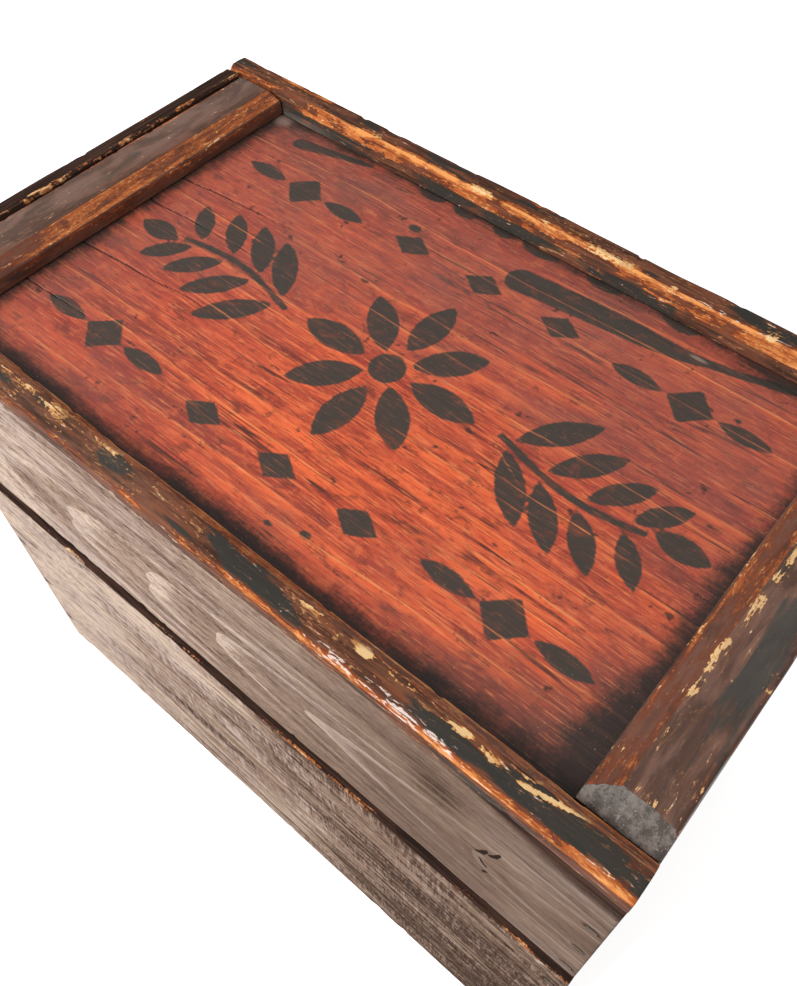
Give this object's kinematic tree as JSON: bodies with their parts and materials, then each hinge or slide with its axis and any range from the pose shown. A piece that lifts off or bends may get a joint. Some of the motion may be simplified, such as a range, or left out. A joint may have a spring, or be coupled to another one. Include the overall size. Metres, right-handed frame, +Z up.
{
  "type": "shop display box",
  "caption": "Rectangular wooden counter box with a deep hinged lid, a recessed panel top framed by rails and battens, butt hinges at the back.",
  "frame": {"origin": "on the floor, under the middle of the base", "axes": "+X along the length to the right, -Y out of the front, +Z up"},
  "size_m": [0.36, 0.215, 0.3028],
  "materials": {
    "dark_painted_wood": "old black-brown paint, semi-gloss, worn through to orange stained wood along the edges",
    "stained_panel_wood": "red-orange stained and varnished pine with a dark painted border",
    "planed_grey_wood": "bare planed softwood, greyed with age",
    "rough_grey_wood": "bare rough-sawn softwood, greyed with age",
    "inner_wood": "bare softwood, yellowed",
    "nail_iron": "rusted cut iron",
    "hinge_brass": "dull aged brass"
  },
  "bodies": {
    "base": {"base_front_board": "rough_grey_wood", "base_back_board": "rough_grey_wood", "base_left_end": "rough_grey_wood", "base_right_end": "rough_grey_wood", "bottom_front_board": "inner_wood", "bottom_middle_board": "inner_wood", "bottom_back_board": "inner_wood", "base_corner_nails": "nail_iron", "bottom_nails": "nail_iron", "left_hinge_base_leaf": "hinge_brass", "left_hinge_pin": "nail_iron", "right_hinge_base_leaf": "hinge_brass", "right_hinge_pin": "nail_iron", "base_hinge_screws": "hinge_brass"},
    "lid": {"lid_front_board": "planed_grey_wood", "lid_back_board": "planed_grey_wood", "lid_left_end": "planed_grey_wood", "lid_right_end": "planed_grey_wood", "lid_panel": "stained_panel_wood", "front_rail": "dark_painted_wood", "back_rail": "dark_painted_wood", "left_batten": "dark_painted_wood", "right_batten": "dark_painted_wood", "lid_corner_nails": "nail_iron", "rail_nails": "nail_iron", "batten_nails": "nail_iron", "panel_nails": "nail_iron", "left_hinge_lid_leaf": "hinge_brass", "right_hinge_lid_leaf": "hinge_brass", "lid_hinge_screws": "hinge_brass"}
  },
  "joints": [
    {"name": "lid_hinge", "type": "hinge", "parent": "base", "child": "lid", "pos_m": [0, 0.1035, 0.1804], "axis": [-1, 0, 0], "range_deg": [0, 100]}
  ]
}
